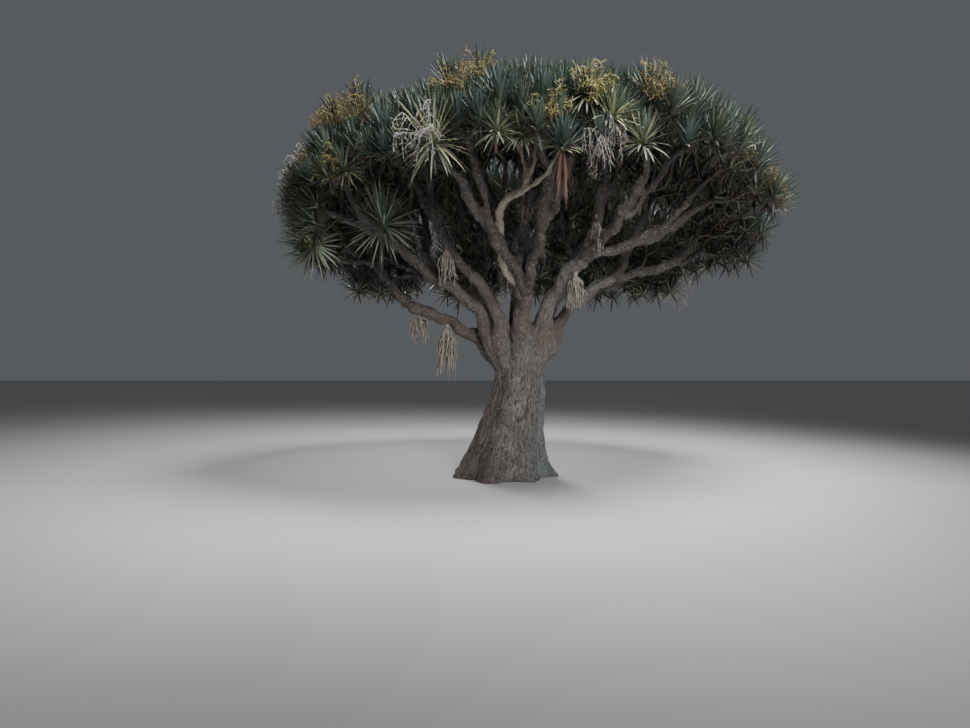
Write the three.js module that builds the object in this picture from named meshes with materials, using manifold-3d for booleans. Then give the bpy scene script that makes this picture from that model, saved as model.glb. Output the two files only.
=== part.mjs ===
// A dragon blood tree: one stout leaning trunk, boughs that fork into limbs, and an umbrella
// of sword-leaved rosettes on ever finer twigs. Millimetres, +Z up, with the origin at the
// middle of the cut foot. The photographed side faces -Y.
import * as THREE from 'three';
import { ConvexGeometry } from 'three/addons/geometries/ConvexGeometry.js';
import { mergeVertices } from 'three/addons/utils/BufferGeometryUtils.js';
import Module from 'manifold-3d';

const wasm = await Module();
wasm.setup();

const GAP = 0.3; // clearance between neighbouring pieces
const SEED = 5;

// Trunk
const TRUNK_HEIGHT = 1800;
const WAIST_HEIGHT = 1500;
const WAIST_RADIUS = 345;
const TRUNK_SWELL = 190; // how much wider the trunk grows from its waist down to its foot
const TRUNK_LEAN = 245; // how far the waist stands to +X of the foot
const ROOT_FLARE = 180; // how much the root flare adds at the ground
const FLARE_HEIGHT = 300;
const ROOT_LOBES = 7;
const LOBE_DEPTH = 70;
const FLUTE_DEPTH = 16; // what is left of the lobes higher up the trunk
const SHOULDER_SHARE = 0.7; // the trunk's top is this much narrower than its waist

// Boughs: heading of the fork in degrees from +X towards +Y, its distance from the trunk's
// axis and its height
const BOUGHS = [
  { name: 'right_low', heading: 3, reach: 1320, height: 2820 },
  { name: 'right_front', heading: -44, reach: 1110, height: 2980 },
  { name: 'front', heading: -86, reach: 640, height: 2560 },
  { name: 'front_left', heading: 221, reach: 900, height: 2780 },
  { name: 'left', heading: 197, reach: 1180, height: 2760 },
  { name: 'left_low', heading: 170, reach: 1620, height: 2440 },
  { name: 'back_left', heading: 118, reach: 1250, height: 2700 },
  { name: 'back_right', heading: 54, reach: 1280, height: 2720 },
  { name: 'centre', heading: 120, reach: 180, height: 3160 },
];
const BOUGH_FOOT_DEPTH = 330; // boughs start this far below the trunk's top
const BOUGH_FOOT_REACH = 200; // and this far out from its axis
const BOUGH_RISE = { up: 0.3, out: 0.12 }; // shares of its length by which a bough first climbs
const BOUGH_APPROACH = { up: 0.1, out: 0.32 }; // and by which it comes into its fork
const BOUGH_TAPER = { start: 1.15, end: 0.9 }; // shares of the radius that its load asks for
const BOUGH_FACETS = { sides: 7, segments: 4 };
const LEAST_BOUGH_RADIUS = 95;

// Limbs: they leave the fork along their bough and bend up towards their foliage
const LIMB_LAP = 0.6; // a limb starts this share of its bough's end radius inside the bough
const LIMB_TURN = 0.5; // how far its end turns from its heading towards the dome's normal
const LIMB_LEAVE = { along: 0.22, aim: 0.1 }; // shares of its length by which it leaves the fork
const LIMB_APPROACH = 0.3; // and the share of it that runs straight into its end
const LIMB_TAPER = { start: 1.12, end: 1 };
const LIMB_FACETS = { sides: 5, segments: 3 };

// Crown: the dome on which the hearts of the rosettes lie
const CROWN_CENTRE = new THREE.Vector3(450, -80, 0);
const DOME_RADIUS = 3180;
const DOME_RISE = 1480;
const RIM_HEIGHT = 3200;
const RIM_SLOPE = { x: -0.045, y: -0.12 }; // how steeply the plane of the rim climbs
const SAG_HEADING = 155; // on this side the crown hangs further down the dome
const SAG_LENGTH = 330;
const OPEN_HEADING = -56; // and on this side its edge is higher, so that the boughs show
const OPEN_LENGTH = 500;
const DOME_LUMPS = 75; // the most that a mass of foliage stands above or below the dome
const STEM_DEPTH = 830; // a mass begins this far under the dome
const HEART_RING = 510; // hearts stand round the middle one of their mass at this distance
const RINGS = [
  { name: 'top', masses: 3, fromTop: 660, hearts: 4, turn: 40 },
  { name: 'mid', masses: 7, fromTop: 1960, hearts: 6, turn: 3 },
  { name: 'rim', masses: 11, fromTop: 3240, hearts: 6, turn: 11 },
];

// Wood: every branch is as thick as the number of rosettes that it carries asks for
const TIP_RADIUS = 21;
const PIPE_POWER = 2.2;
const ROSETTES_PER_HEART = 2.5;
const NECK_LENGTH = 110;
const FORK_SHARE = 0.42; // a twig forks at this share of the way to the middle of its hearts

// Leaves and fruiting stalks
const LEAF_LENGTH = 530;
const LEAF_WIDTH = 128;
const LEAF_THICKNESS = 11;
const LEAF_WAIST = 0.36; // a leaf is widest at this share of its length
const LEAF_TILTS = [14, 48, 60, 52, 64]; // degrees from the axis of the rosette
const STEEPER = [1, 0.8, 0.6, 0.4]; // shares of its tilt that a leaf tries in turn
const ROSETTE_LIFT = 0.45; // how far rosettes turn from the dome's normal to straight up
const ROOT_SINK = 12; // the first leaf roots this far down in the end of its twig
const ROOT_STEP = 4; // and each later one this much further down
const STALKS = 3;
const STALK_LENGTH = 330;
const STALK_RADIUS = 16;
const FRUITING = ['rim_06', 'rim_07', 'rim_08', 'rim_09', 'rim_11', 'mid_05', 'mid_06'];

// Aerial roots: the branch that they hang from, how far along it, and how long they are
const AERIAL_ROOTS = [
  { host: 'bough_left_low', along: 0.93, drop: 420, spread: 260, strands: 5 },
  { host: 'bough_left_low', along: 0.68, drop: 780, spread: 260, strands: 7 },
  { host: 'limb_mid_05', along: 0.48, drop: 500, spread: 210, strands: 6 },
  { host: 'limb_top_02', along: 0.45, drop: 760, spread: 190, strands: 6 },
  { host: 'limb_mid_06', along: 0.87, drop: 340, spread: 130, strands: 4 },
  { host: 'bough_right_front', along: 0.92, drop: 480, spread: 200, strands: 6 },
  { host: 'limb_top_01', along: 0.72, drop: 420, spread: 130, strands: 4 },
  { host: 'limb_mid_07', along: 0.66, drop: 460, spread: 140, strands: 4 },
];
const ROOT_COLLAR = 36; // radius of the stout root that frays into the strands
const ROOT_RADIUS = 15; // radius of a strand at its bend
const FRAY_SHARE = 0.28; // the stout root is this share of the whole drop

const LOOKS = {
  trunk: { color: 0x6b6158, roughness: 0.92, metalness: 0 },
  branch: { color: 0x776a5c, roughness: 0.9, metalness: 0 },
  root: { color: 0x9a8b78, roughness: 0.9, metalness: 0 },
  foliage: { color: 0x3f5c4a, roughness: 0.6, metalness: 0 },
};

const UP = new THREE.Vector3(0, 0, 1);
const DOWN = new THREE.Vector3(0, 0, -1);
const radians = THREE.MathUtils.degToRad;

// The minimal standard generator, so that every run grows the same tree.
function seededRandom(seed) {
  let state = seed;
  return () => {
    state = (state * 16807) % 2147483647;
    return state / 2147483647;
  };
}

// A value that varies by up to the given share of itself, half of it either way.
function varied(value, share, random) {
  return value * (1 + share * (random() - 0.5));
}

function pipeRadius(rosettes) {
  return TIP_RADIUS * rosettes ** (1 / PIPE_POWER);
}

function moved(point, direction, distance) {
  return point.clone().addScaledVector(direction, distance);
}

// The direction square to an axis, at a turn round it.
function sideOf(axis, turn) {
  const reference = new THREE.Vector3(0.31, 0.95, 0.02);
  return new THREE.Vector3().crossVectors(axis, reference).normalize().applyAxisAngle(axis, turn);
}

// The corners of a ring square to an axis.
function corners(centre, axis, radius, sides) {
  const step = (2 * Math.PI) / sides;
  return Array.from({ length: sides }, (_, k) => moved(centre, sideOf(axis, k * step), radius));
}

// A closed mesh as a solid, for the joins and cuts below.
function solidOf(geometry) {
  const bare = new THREE.BufferGeometry();
  bare.setAttribute('position', geometry.getAttribute('position'));
  bare.setIndex(geometry.getIndex());
  const merged = mergeVertices(bare, 1e-3);
  return new wasm.Manifold(
    new wasm.Mesh({
      numProp: 3,
      vertProperties: merged.attributes.position.array,
      triVerts: new Uint32Array(merged.index.array),
    }),
  );
}

function hullOf(...rings) {
  return solidOf(new ConvexGeometry(rings.flat()));
}

// The largest body of a solid: scraps that a cut leaves, and sealed hollows, are dropped.
function largestBody(solid) {
  return solid.decompose().reduce((a, b) => (b.volume() > a.volume() ? b : a));
}

// The trunk leans to +X, narrows to its waist and flares into lobes at the ground.
function trunkAxis(height) {
  const share = THREE.MathUtils.smoothstep(height, 0, WAIST_HEIGHT + 100);
  return new THREE.Vector3(TRUNK_LEAN * share, 0, height);
}

function trunkRadius(height, angle) {
  const below = Math.max(0, 1 - height / WAIST_HEIGHT);
  const above = Math.max(0, (height - WAIST_HEIGHT) / (TRUNK_HEIGHT - WAIST_HEIGHT));
  const flare = Math.exp(-height / FLARE_HEIGHT);
  const lobes = Math.cos(ROOT_LOBES * angle + 0.6) + 0.4 * Math.cos(3 * angle - 1.1);
  const round = WAIST_RADIUS * (1 - (1 - SHOULDER_SHARE) * above) + TRUNK_SWELL * below;
  return round + ROOT_FLARE * flare + lobes * (LOBE_DEPTH * flare + FLUTE_DEPTH);
}

// Every solid that others are cut clear of is also made with a little growth all round.
function trunkSolid(growth = 0) {
  const sides = 20;
  const layers = 8;
  const geometry = new THREE.CylinderGeometry(1, 1, 1, sides, layers);
  const position = geometry.getAttribute('position');
  for (let i = 0; i < position.count; i += 1) {
    const x = position.getX(i);
    const z = position.getZ(i);
    const layer = Math.round((position.getY(i) + 0.5) * layers);
    const axis = trunkAxis(TRUNK_HEIGHT * (layer / layers) ** 1.2);
    const radius = trunkRadius(axis.z, Math.atan2(z, x)) + 1.2 * growth;
    const lift = layer === layers ? 1.2 * growth : 0;
    position.setXYZ(i, axis.x + x * radius, axis.y - z * radius, axis.z + lift);
  }
  return solidOf(geometry);
}

function forkOf(bough) {
  const heading = radians(bough.heading);
  const fork = trunkAxis(TRUNK_HEIGHT).setZ(bough.height);
  return moved(fork, new THREE.Vector3(Math.cos(heading), Math.sin(heading), 0), bough.reach);
}

function branchAlong(name, curve, radius, taper, facets) {
  return { name, curve, start: taper.start * radius, end: taper.end * radius, ...facets };
}

// A bough leaves the top of the trunk steeply and bends over towards its fork.
function boughBranch(bough, rosettes) {
  const heading = radians(bough.heading);
  const out = new THREE.Vector3(Math.cos(heading), Math.sin(heading), 0);
  const foot = moved(trunkAxis(TRUNK_HEIGHT - BOUGH_FOOT_DEPTH), out, BOUGH_FOOT_REACH);
  const fork = forkOf(bough);
  const length = foot.distanceTo(fork);
  const rise = moved(moved(foot, UP, BOUGH_RISE.up * length), out, BOUGH_RISE.out * length);
  const below = moved(fork, UP, -BOUGH_APPROACH.up * length);
  const approach = moved(below, out, -BOUGH_APPROACH.out * length);
  const curve = new THREE.CubicBezierCurve3(foot, rise, approach, fork);
  const radius = Math.max(pipeRadius(rosettes), LEAST_BOUGH_RADIUS);
  return branchAlong(`bough_${bough.name}`, curve, radius, BOUGH_TAPER, BOUGH_FACETS);
}

// A limb runs from just inside the fork of its bough to the foot of its mass of foliage.
function limbBranch(mass, bough) {
  const fork = bough.curve.getPoint(1);
  const ahead = bough.curve.getTangent(1);
  const start = moved(fork, ahead, -LIMB_LAP * bough.end);
  const heading = mass.centre.clone().sub(fork).normalize();
  const aim = heading.lerp(mass.normal, LIMB_TURN).normalize();
  const foot = moved(mass.centre, aim, -STEM_DEPTH);
  const length = start.distanceTo(foot);
  const leave = moved(moved(start, ahead, LIMB_LEAVE.along * length), aim, LIMB_LEAVE.aim * length);
  const approach = moved(foot, aim, -LIMB_APPROACH * length);
  const curve = new THREE.CubicBezierCurve3(start, leave, approach, foot);
  const radius = pipeRadius(mass.hearts.length * ROSETTES_PER_HEART);
  return branchAlong(`limb_${mass.name}`, curve, radius, LIMB_TAPER, LIMB_FACETS);
}

// A branch is a cylinder whose rings are set along its curve and taper from start to end.
function branchSolid({ curve, start, end, sides, segments }, growth = 0) {
  const geometry = new THREE.CylinderGeometry(1, 1, 1, sides, segments);
  const frames = curve.computeFrenetFrames(segments, false);
  const points = curve.getSpacedPoints(segments);
  points[0].addScaledVector(frames.tangents[0], -growth);
  points[segments].addScaledVector(frames.tangents[segments], growth);
  const position = geometry.getAttribute('position');
  for (let i = 0; i < position.count; i += 1) {
    const ring = Math.round((position.getY(i) + 0.5) * segments);
    const radius = THREE.MathUtils.lerp(start, end, ring / segments) + growth / Math.cos(Math.PI / sides);
    const placed = moved(points[ring], frames.normals[ring], position.getZ(i) * radius);
    placed.addScaledVector(frames.binormals[ring], position.getX(i) * radius);
    position.setXYZ(i, placed.x, placed.y, placed.z);
  }
  return solidOf(geometry);
}

// The point of the dome that lies an arc's length from its top, and the normal there.
function domePoint(fromTop, heading, lift) {
  const step = 0.01;
  let angle = 0;
  let arc = 0;
  while (arc < fromTop) {
    arc += step * Math.hypot(DOME_RADIUS * Math.cos(angle), DOME_RISE * Math.sin(angle));
    angle += step;
  }
  const reach = DOME_RADIUS * Math.sin(angle);
  const x = reach * Math.cos(heading);
  const y = reach * Math.sin(heading);
  const height = RIM_HEIGHT + DOME_RISE * Math.cos(angle) + RIM_SLOPE.x * x + RIM_SLOPE.y * y;
  const normal = new THREE.Vector3(
    (Math.sin(angle) * Math.cos(heading)) / DOME_RADIUS,
    (Math.sin(angle) * Math.sin(heading)) / DOME_RADIUS,
    Math.cos(angle) / DOME_RISE,
  ).normalize();
  const point = new THREE.Vector3(x, y, height).add(CROWN_CENTRE).addScaledVector(normal, lift);
  return { point, normal, reach };
}

// A mass of foliage has one heart in the middle and the others in a ring round it.
function plantMass(ring, number, random) {
  const name = `${ring.name}_${String(number + 1).padStart(2, '0')}`;
  const lift = DOME_LUMPS * (2 * random() - 1);
  const heading = radians(ring.turn + (360 * (number + 0.3 * (random() - 0.5))) / ring.masses);
  const sag = SAG_LENGTH * Math.max(0, Math.cos(heading - radians(SAG_HEADING))) ** 2;
  const open = OPEN_LENGTH * Math.max(0, Math.cos(heading - radians(OPEN_HEADING)));
  const fromTop = ring.fromTop * (1 + (sag - open) / DOME_RADIUS);
  const middle = domePoint(fromTop, heading, lift);
  const hearts = [middle];
  const first = 2 * Math.PI * random();
  for (let k = 1; k < ring.hearts; k += 1) {
    const turn = first + (2 * Math.PI * (k + 0.3 * (random() - 0.5))) / (ring.hearts - 1);
    const out = varied(HEART_RING, 0.16, random);
    const aside = (out * Math.sin(turn)) / Math.max(middle.reach, HEART_RING);
    hearts.push(domePoint(fromTop + out * Math.cos(turn), heading + aside, lift));
  }
  hearts[1].fruiting = FRUITING.includes(name);
  return { name, centre: middle.point, normal: middle.normal, hearts };
}

// A mass grows on the bough that points most nearly towards it.
function boughFor(mass) {
  const from = trunkAxis(TRUNK_HEIGHT);
  const aim = mass.centre.clone().sub(from);
  const turn = (bough) => forkOf(bough).sub(from).angleTo(aim);
  return BOUGHS.reduce((a, b) => (turn(b) < turn(a) ? b : a));
}

// How far a point is inside the space of a mass: the points nearer to its centre than to any
// other mass's.
function roomInMass(point, mass, masses) {
  let room = Infinity;
  for (const other of masses) {
    if (other !== mass) {
      const nearer = point.distanceToSquared(other.centre) - point.distanceToSquared(mass.centre);
      room = Math.min(room, nearer / (2 * mass.centre.distanceTo(other.centre)));
    }
  }
  return room;
}

function roomToBranches(point, branches) {
  let room = Infinity;
  for (const branch of branches) {
    for (let k = 0; k <= 6; k += 1) {
      room = Math.min(room, point.distanceTo(branch.curve.getPoint(k / 6)) - branch.start);
    }
  }
  return room;
}

// A sword leaf, keeled underneath: it widens from its root to its waist and runs to a point.
function leafSolid(root, direction, length, axis) {
  const across = new THREE.Vector3().crossVectors(direction, axis).normalize();
  const below = new THREE.Vector3().crossVectors(direction, across);
  const waist = moved(root, direction, LEAF_WAIST * length);
  const edges = moved(waist, below, -LEAF_THICKNESS / 4);
  const left = moved(edges, across, -LEAF_WIDTH / 2);
  const right = moved(edges, across, LEAF_WIDTH / 2);
  return hullOf([root, left, right, moved(waist, below, LEAF_THICKNESS), moved(root, direction, length)]);
}

function tilted(axis, side, tilt) {
  return axis.clone().multiplyScalar(Math.cos(tilt)).addScaledVector(side, Math.sin(tilt));
}

function rosetteAxis(heart) {
  return heart.normal.clone().lerp(UP, ROSETTE_LIFT).normalize();
}

// A rosette: leaves all round the end of a twig, their roots sunk in its wood. A leaf that
// would leave the space of its mass or touch a branch stands steeper, or is left out.
function rosettePieces(heart, twig, fits, random) {
  const pieces = [];
  const axis = rosetteAxis(heart);
  const first = 2 * Math.PI * random();
  LEAF_TILTS.forEach((tilt, k) => {
    const side = sideOf(axis, first + (2 * Math.PI * k) / (LEAF_TILTS.length - 1));
    const lean = tilt + 12 * (random() - 0.5);
    const length = varied(LEAF_LENGTH, 0.16, random);
    const root = moved(heart.point, twig, -ROOT_SINK - k * ROOT_STEP);
    const directions = STEEPER.map((share) => tilted(axis, side, radians(lean * share)));
    const direction = directions.find((way) => fits(root, way, length));
    if (direction) {
      pieces.push(leafSolid(root, direction, length, axis));
    }
  });
  return pieces;
}

// Fruiting stalks stand between the leaves of a rosette and thicken towards their ends.
function stalkPieces(heart, twig, random) {
  const pieces = [];
  const axis = rosetteAxis(heart);
  const root = moved(heart.point, twig, -ROOT_SINK);
  for (let k = 0; k < STALKS; k += 1) {
    const side = sideOf(axis, (2 * Math.PI * (k + 0.5 * random())) / STALKS);
    const direction = tilted(axis, side, radians(20 + 20 * random()));
    const tip = moved(root, direction, STALK_LENGTH);
    pieces.push(hullOf([root], corners(tip, direction, STALK_RADIUS, 3)));
  }
  return pieces;
}

// Halves a group of hearts across the line between the two that are furthest apart.
function splitHearts(hearts) {
  let pair = [hearts[0], hearts[1]];
  for (const a of hearts) {
    for (const b of hearts) {
      if (a.point.distanceTo(b.point) > pair[0].point.distanceTo(pair[1].point)) {
        pair = [a, b];
      }
    }
  }
  const line = pair[1].point.clone().sub(pair[0].point);
  const sorted = [...hearts].sort((a, b) => a.point.dot(line) - b.point.dot(line));
  const half = Math.ceil(hearts.length / 2);
  return [sorted.slice(0, half), sorted.slice(half)];
}

// Three-sided twigs fork towards ever fewer hearts until each one ends in a rosette.
function twigPieces(from, ring, hearts, fits, random) {
  const radius = pipeRadius(hearts.length * ROSETTES_PER_HEART);
  if (hearts.length === 1) {
    const [heart] = hearts;
    const twig = heart.point.clone().sub(from).normalize();
    const end = corners(heart.point, twig, 0.85 * radius, 3);
    const pieces = [hullOf(ring, end), ...rosettePieces(heart, twig, fits, random)];
    return heart.fruiting ? [...pieces, ...stalkPieces(heart, twig, random)] : pieces;
  }
  const middle = new THREE.Vector3();
  hearts.forEach((heart) => middle.addScaledVector(heart.point, 1 / hearts.length));
  const fork = from.clone().lerp(middle, FORK_SHARE);
  const end = corners(fork, fork.clone().sub(from).normalize(), radius, 3);
  const finer = splitHearts(hearts).flatMap((group) => twigPieces(fork, end, group, fits, random));
  return [hullOf(ring, end), ...finer];
}

// A mass grows on from the end of its limb: a short neck, then twigs and rosettes.
function massSolid(mass, limb, masses, branches, random) {
  const foot = moved(limb.curve.getPoint(1), limb.curve.getTangent(1), GAP);
  const tangent = limb.curve.getTangent(1);
  const neck = moved(foot, tangent, NECK_LENGTH);
  const ring = corners(neck, tangent, 0.95 * limb.end, 3);
  const fits = (root, direction, length) => {
    const waist = moved(root, direction, LEAF_WAIST * length);
    const tip = moved(root, direction, length);
    const waistFits = roomInMass(waist, mass, masses) > LEAF_WIDTH / 2 + GAP;
    const tipFits = roomInMass(tip, mass, masses) > GAP;
    return waistFits && tipFits && roomToBranches(waist, branches) > LEAF_WIDTH / 2;
  };
  const pieces = [hullOf(corners(foot, tangent, limb.end, 6), ring)];
  pieces.push(...twigPieces(neck, ring, mass.hearts, fits, random));
  return largestBody(wasm.Manifold.union(pieces));
}

// A beard of aerial roots: one short stout root that frays into strands.
function aerialRootSolid(roots, host, random) {
  const top = host.curve.getPoint(roots.along);
  const knot = moved(top, DOWN, host.start + FRAY_SHARE * roots.drop);
  const foot = corners(top, DOWN, 1.7 * ROOT_COLLAR, 4);
  const pieces = [hullOf(foot, corners(knot, DOWN, ROOT_COLLAR, 4))];
  for (let k = 0; k < roots.strands; k += 1) {
    const aside = sideOf(DOWN, (2 * Math.PI * (k + 0.6 * random())) / roots.strands);
    const spread = 0.5 * roots.spread * (0.5 + 0.5 * random());
    const fall = roots.drop * (0.45 + 0.27 * random());
    const start = moved(knot, UP, 0.12 * roots.drop * random() + ROOT_RADIUS);
    const bend = moved(moved(start, DOWN, 0.4 * fall), aside, 0.85 * spread);
    const tip = moved(moved(start, DOWN, fall), aside, spread);
    const ring = corners(bend, DOWN, ROOT_RADIUS, 3);
    pieces.push(hullOf(corners(start, DOWN, 1.3 * ROOT_RADIUS, 3), ring), hullOf(ring, [tip]));
  }
  return wasm.Manifold.union(pieces);
}

// Cuts a solid clear of the ones that already stand in its way.
function clearOf(standing, solid) {
  let cut = solid;
  for (const other of standing) {
    const a = cut.boundingBox();
    const b = other.boundingBox();
    if (a.min.every((low, k) => low <= b.max[k]) && b.min.every((low, k) => low <= a.max[k])) {
      cut = cut.subtract(other);
    }
  }
  return largestBody(cut);
}

// A sub-part, placed at the point that it grows from.
function subPart(name, solid, origin, look) {
  const { vertProperties, triVerts } = solid.getMesh();
  const geometry = new THREE.BufferGeometry();
  geometry.setAttribute('position', new THREE.BufferAttribute(vertProperties, 3));
  geometry.setIndex(new THREE.BufferAttribute(triVerts, 1));
  geometry.translate(-origin.x, -origin.y, -origin.z);
  geometry.computeVertexNormals();
  const mesh = new THREE.Mesh(geometry, new THREE.MeshStandardMaterial(look));
  mesh.name = name;
  mesh.position.copy(origin);
  return mesh;
}

const random = seededRandom(SEED);
const masses = [];
for (const ring of RINGS) {
  for (let k = 0; k < ring.masses; k += 1) {
    masses.push(plantMass(ring, k, random));
  }
}
const boughs = BOUGHS.map((bough) => {
  const carried = masses.filter((mass) => boughFor(mass) === bough);
  const hearts = carried.reduce((sum, mass) => sum + mass.hearts.length, 0);
  return boughBranch(bough, hearts * ROSETTES_PER_HEART);
});
const limbs = masses.map((mass) => limbBranch(mass, boughs[BOUGHS.indexOf(boughFor(mass))]));
const branches = [...boughs, ...limbs];

const tree = new THREE.Group();
tree.add(subPart('trunk', trunkSolid(), trunkAxis(0), LOOKS.trunk));

const standing = [trunkSolid(GAP)];
const wood = new THREE.Group();
for (const branch of branches) {
  const solid = clearOf(standing, branchSolid(branch));
  wood.add(subPart(branch.name, solid, branch.curve.getPoint(0), LOOKS.branch));
  standing.push(branchSolid(branch, GAP));
}
tree.add(wood);

const beards = new THREE.Group();
AERIAL_ROOTS.forEach((roots, k) => {
  const host = branches.find((branch) => branch.name === roots.host);
  const solid = clearOf(standing, aerialRootSolid(roots, host, random));
  beards.add(subPart(`aerial_roots_${k + 1}`, solid, host.curve.getPoint(roots.along), LOOKS.root));
});
tree.add(beards);

const crown = new THREE.Group();
masses.forEach((mass, k) => {
  const solid = massSolid(mass, limbs[k], masses, branches, random);
  crown.add(subPart(`foliage_${mass.name}`, solid, limbs[k].curve.getPoint(1), LOOKS.foliage));
});
tree.add(crown);

export default tree;
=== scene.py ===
import math

import bmesh
import bpy
import numpy as np
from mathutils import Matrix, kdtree


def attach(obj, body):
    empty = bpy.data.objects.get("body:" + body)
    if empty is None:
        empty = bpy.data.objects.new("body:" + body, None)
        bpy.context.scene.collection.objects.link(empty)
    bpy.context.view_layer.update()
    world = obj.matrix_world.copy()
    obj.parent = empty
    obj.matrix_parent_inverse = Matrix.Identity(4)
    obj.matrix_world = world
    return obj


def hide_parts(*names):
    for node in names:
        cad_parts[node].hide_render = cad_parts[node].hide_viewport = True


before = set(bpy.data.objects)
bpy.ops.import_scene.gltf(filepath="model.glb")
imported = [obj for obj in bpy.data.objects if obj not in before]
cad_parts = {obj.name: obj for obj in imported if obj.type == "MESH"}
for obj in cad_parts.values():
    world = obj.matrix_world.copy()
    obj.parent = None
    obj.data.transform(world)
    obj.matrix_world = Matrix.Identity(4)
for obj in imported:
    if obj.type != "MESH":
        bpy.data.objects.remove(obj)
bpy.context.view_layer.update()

# The trunk, boughs and limbs are one growth of soft fibrous wood under a thin grey bark. The
# trunk leans, narrows to a waist and flares into lobes at the ground. Nine boughs leave its top
# side by side, grown together where they part, and each one forks into limbs.
SEED = 5
TRUNK_HEIGHT = 1.8
WAIST_HEIGHT = 1.5
WAIST_RADIUS = 0.345
TRUNK_SWELL = 0.19
TRUNK_LEAN = 0.245
ROOT_FLARE = 0.18
FLARE_HEIGHT = 0.3
ROOT_LOBES = 7
LOBE_DEPTH = 0.07
FLUTE_DEPTH = 0.016
SHOULDER_SHARE = 0.7
# Each bough's fork: its heading in degrees, its reach from the trunk's middle, its height.
BOUGHS = {
    "right_low": (3, 1.32, 2.82),
    "right_front": (-44, 1.11, 2.98),
    "front": (-86, 0.64, 2.56),
    "front_left": (221, 0.9, 2.78),
    "left": (197, 1.18, 2.76),
    "left_low": (170, 1.62, 2.44),
    "back_left": (118, 1.25, 2.7),
    "back_right": (54, 1.28, 2.72),
    "centre": (120, 0.18, 3.16),
}
BOUGH_FOOT_DEPTH = 0.33
BOUGH_FOOT_REACH = 0.2
# How a branch leaves and arrives: shares of its length upwards and outwards.
BOUGH_RISE = (0.3, 0.12)
BOUGH_APPROACH = (0.1, 0.32)
BOUGH_TAPER = (1.15, 0.9)
LEAST_BOUGH_RADIUS = 0.095
LIMB_LAP = 0.6
LIMB_TURN = 0.5
LIMB_LEAVE = (0.22, 0.1)
LIMB_APPROACH = 0.3
LIMB_TAPER = (1.12, 1.0)
CROWN_CENTRE = np.array((0.45, -0.08, 0.0))
DOME_RADIUS = 3.18
DOME_RISE = 1.48
RIM_HEIGHT = 3.2
RIM_SLOPE = (-0.045, -0.12)
SAG_HEADING = 155
SAG_LENGTH = 0.33
OPEN_HEADING = -56
OPEN_LENGTH = 0.5
DOME_LUMPS = 0.075
STEM_DEPTH = 0.83
HEART_RING = 0.51
RINGS = (
    {"name": "top", "masses": 3, "from_top": 0.66, "hearts": 4, "turn": 40},
    {"name": "mid", "masses": 7, "from_top": 1.96, "hearts": 6, "turn": 3},
    {"name": "rim", "masses": 11, "from_top": 3.24, "hearts": 6, "turn": 11},
)
TIP_RADIUS = 0.021
PIPE_POWER = 2.2
ROSETTES_PER_HEART = 2.5
NECK_LENGTH = 0.11
FORK_SHARE = 0.42
ROSETTE_LIFT = 0.45
FOOT_FLARE = 0.75  # how much thicker a bough is where it is grown together with its neighbours
FLARE_PLACE = 0.45  # how far up the bough that is
FLARE_REACH = 0.32  # and how far it reaches from there
SIDE_LIMB_START = 0.4  # where a limb sends out its one side limb
SIDE_LIMB_DEPTH = 0.5  # how far under its leaves the side limb forks
WANDER = 0.015  # how far a branch strays from its curve
SWAY_GAIN = 1.6  # how fast that grows with the length of a branch
JOINT_SWELL = 0.2  # how much thicker a branch is at its joints than between them
WOOD_STEP = 0.03
# An old limb in the middle is bent twice where it once lost its tip, and ends in three prongs.
OLD_LIMB_HOST = ("bough_front", 0.95)
OLD_LIMB = ((0.0, -1.0, 2.82), (-0.08, -1.4, 3.15), (-0.09, -1.8, 3.46), (0.01, -2.0, 3.55))
OLD_LIMB_FORK = (0.17, -2.2, 3.57)
OLD_LIMB_RADII = (0.06, 0.045)
PRONGS = (
    ((0.21, -2.25, 3.79), (0.11, -2.3, 4.1)),
    ((0.28, -2.3, 3.83), (0.32, -2.35, 4.07)),
    ((0.35, -2.3, 3.66), (0.48, -2.35, 3.8), (0.58, -2.4, 3.98)),
)
PRONG_RADII = (0.034, 0.022)
# Two young shoots stand on limbs of the left side, clear of the crown, each with one rosette.
YOUNG_SHOOTS = (
    ("limb_rim_06", 0.73, ((-1.74, -0.1, 3.12), (-1.66, -0.6, 3.2), (-1.62, -0.8, 3.46))),
    ("limb_rim_06", 0.98, ((-2.35, -0.1, 3.05), (-2.62, -0.5, 3.24))),
)
SHOOT_RADII = (0.044, 0.028)
CROTCH_RISE = 0.1  # of the trunk's middle between the feet of the boughs
BARK_SHIFT = 3.7  # keeps the bark of one branch from repeating on the next
VOXEL = 0.0175
UP = np.array((0.0, 0.0, 1.0))


def seeded_random(seed):
    """The minimal standard generator, which grows the same tree on every run."""
    state = seed

    def draw():
        nonlocal state
        state = state * 16807 % 2147483647
        return state / 2147483647

    return draw


def varied(value, share, draw):
    return value * (1 + share * (draw() - 0.5))


def pipe_radius(rosettes):
    return TIP_RADIUS * rosettes ** (1 / PIPE_POWER)


def unit(vector):
    return vector / np.linalg.norm(vector)


def turned(vector, axis, angle):
    """The vector turned round an axis of length one."""
    along = axis * np.dot(axis, vector) * (1 - math.cos(angle))
    return vector * math.cos(angle) + np.cross(axis, vector) * math.sin(angle) + along


def side_of(axis, turn):
    """The direction square to an axis, at a turn round it."""
    return turned(unit(np.cross(axis, (0.31, 0.95, 0.02))), axis, turn)


def bend(foot, leave, arrive, end):
    """A curve from foot to end by way of two handles."""

    def point(t):
        s = 1 - t
        return s**3 * foot + 3 * s * s * t * leave + 3 * s * t * t * arrive + t**3 * end

    return point


def heading_at(curve, t):
    return unit(curve(min(t + 0.0001, 1)) - curve(max(t - 0.0001, 0)))


def smooth_step(value, low, high):
    share = min(max((value - low) / (high - low), 0.0), 1.0)
    return share * share * (3 - 2 * share)


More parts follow.
